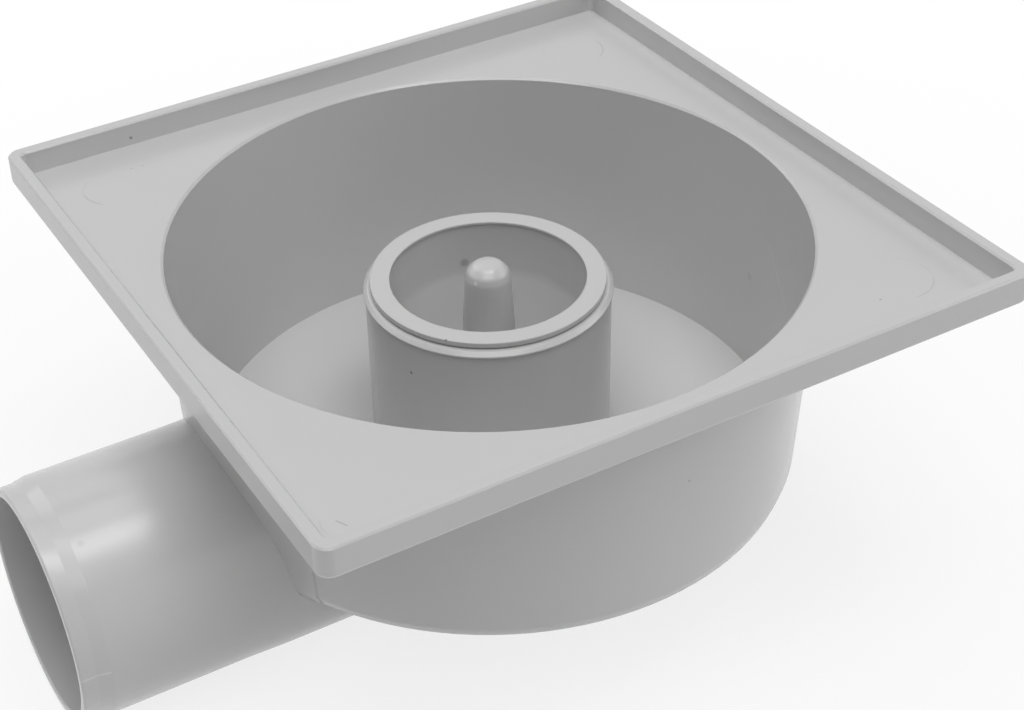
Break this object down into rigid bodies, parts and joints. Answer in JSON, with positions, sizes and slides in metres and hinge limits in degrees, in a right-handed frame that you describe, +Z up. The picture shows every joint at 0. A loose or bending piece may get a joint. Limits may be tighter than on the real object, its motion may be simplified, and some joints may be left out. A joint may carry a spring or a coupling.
{
  "type": "gully trap",
  "caption": "Plastic floor gully trap: square tray for a grating, round water bowl, standpipe with a lift-out plug, and a side outlet for a 50 mm drain pipe.",
  "frame": {"origin": "on the bowl's axis, level with the underside of the tray's flange, where the screed carries it", "axes": "+Z up out of the bowl's mouth; the outlet pipe leaves along -X; the part is mirror-symmetric about the XZ plane"},
  "size_m": [0.1791, 0.15, 0.0822],
  "materials": {
    "body_plastic": "smooth moulded light grey plastic with a soft gloss, a little scuffed",
    "plug_plastic": "smooth moulded light grey plastic with a soft gloss"
  },
  "bodies": {
    "root": {"gully_body": "body_plastic", "standpipe_plug": "plug_plastic"}
  },
  "joints": []
}
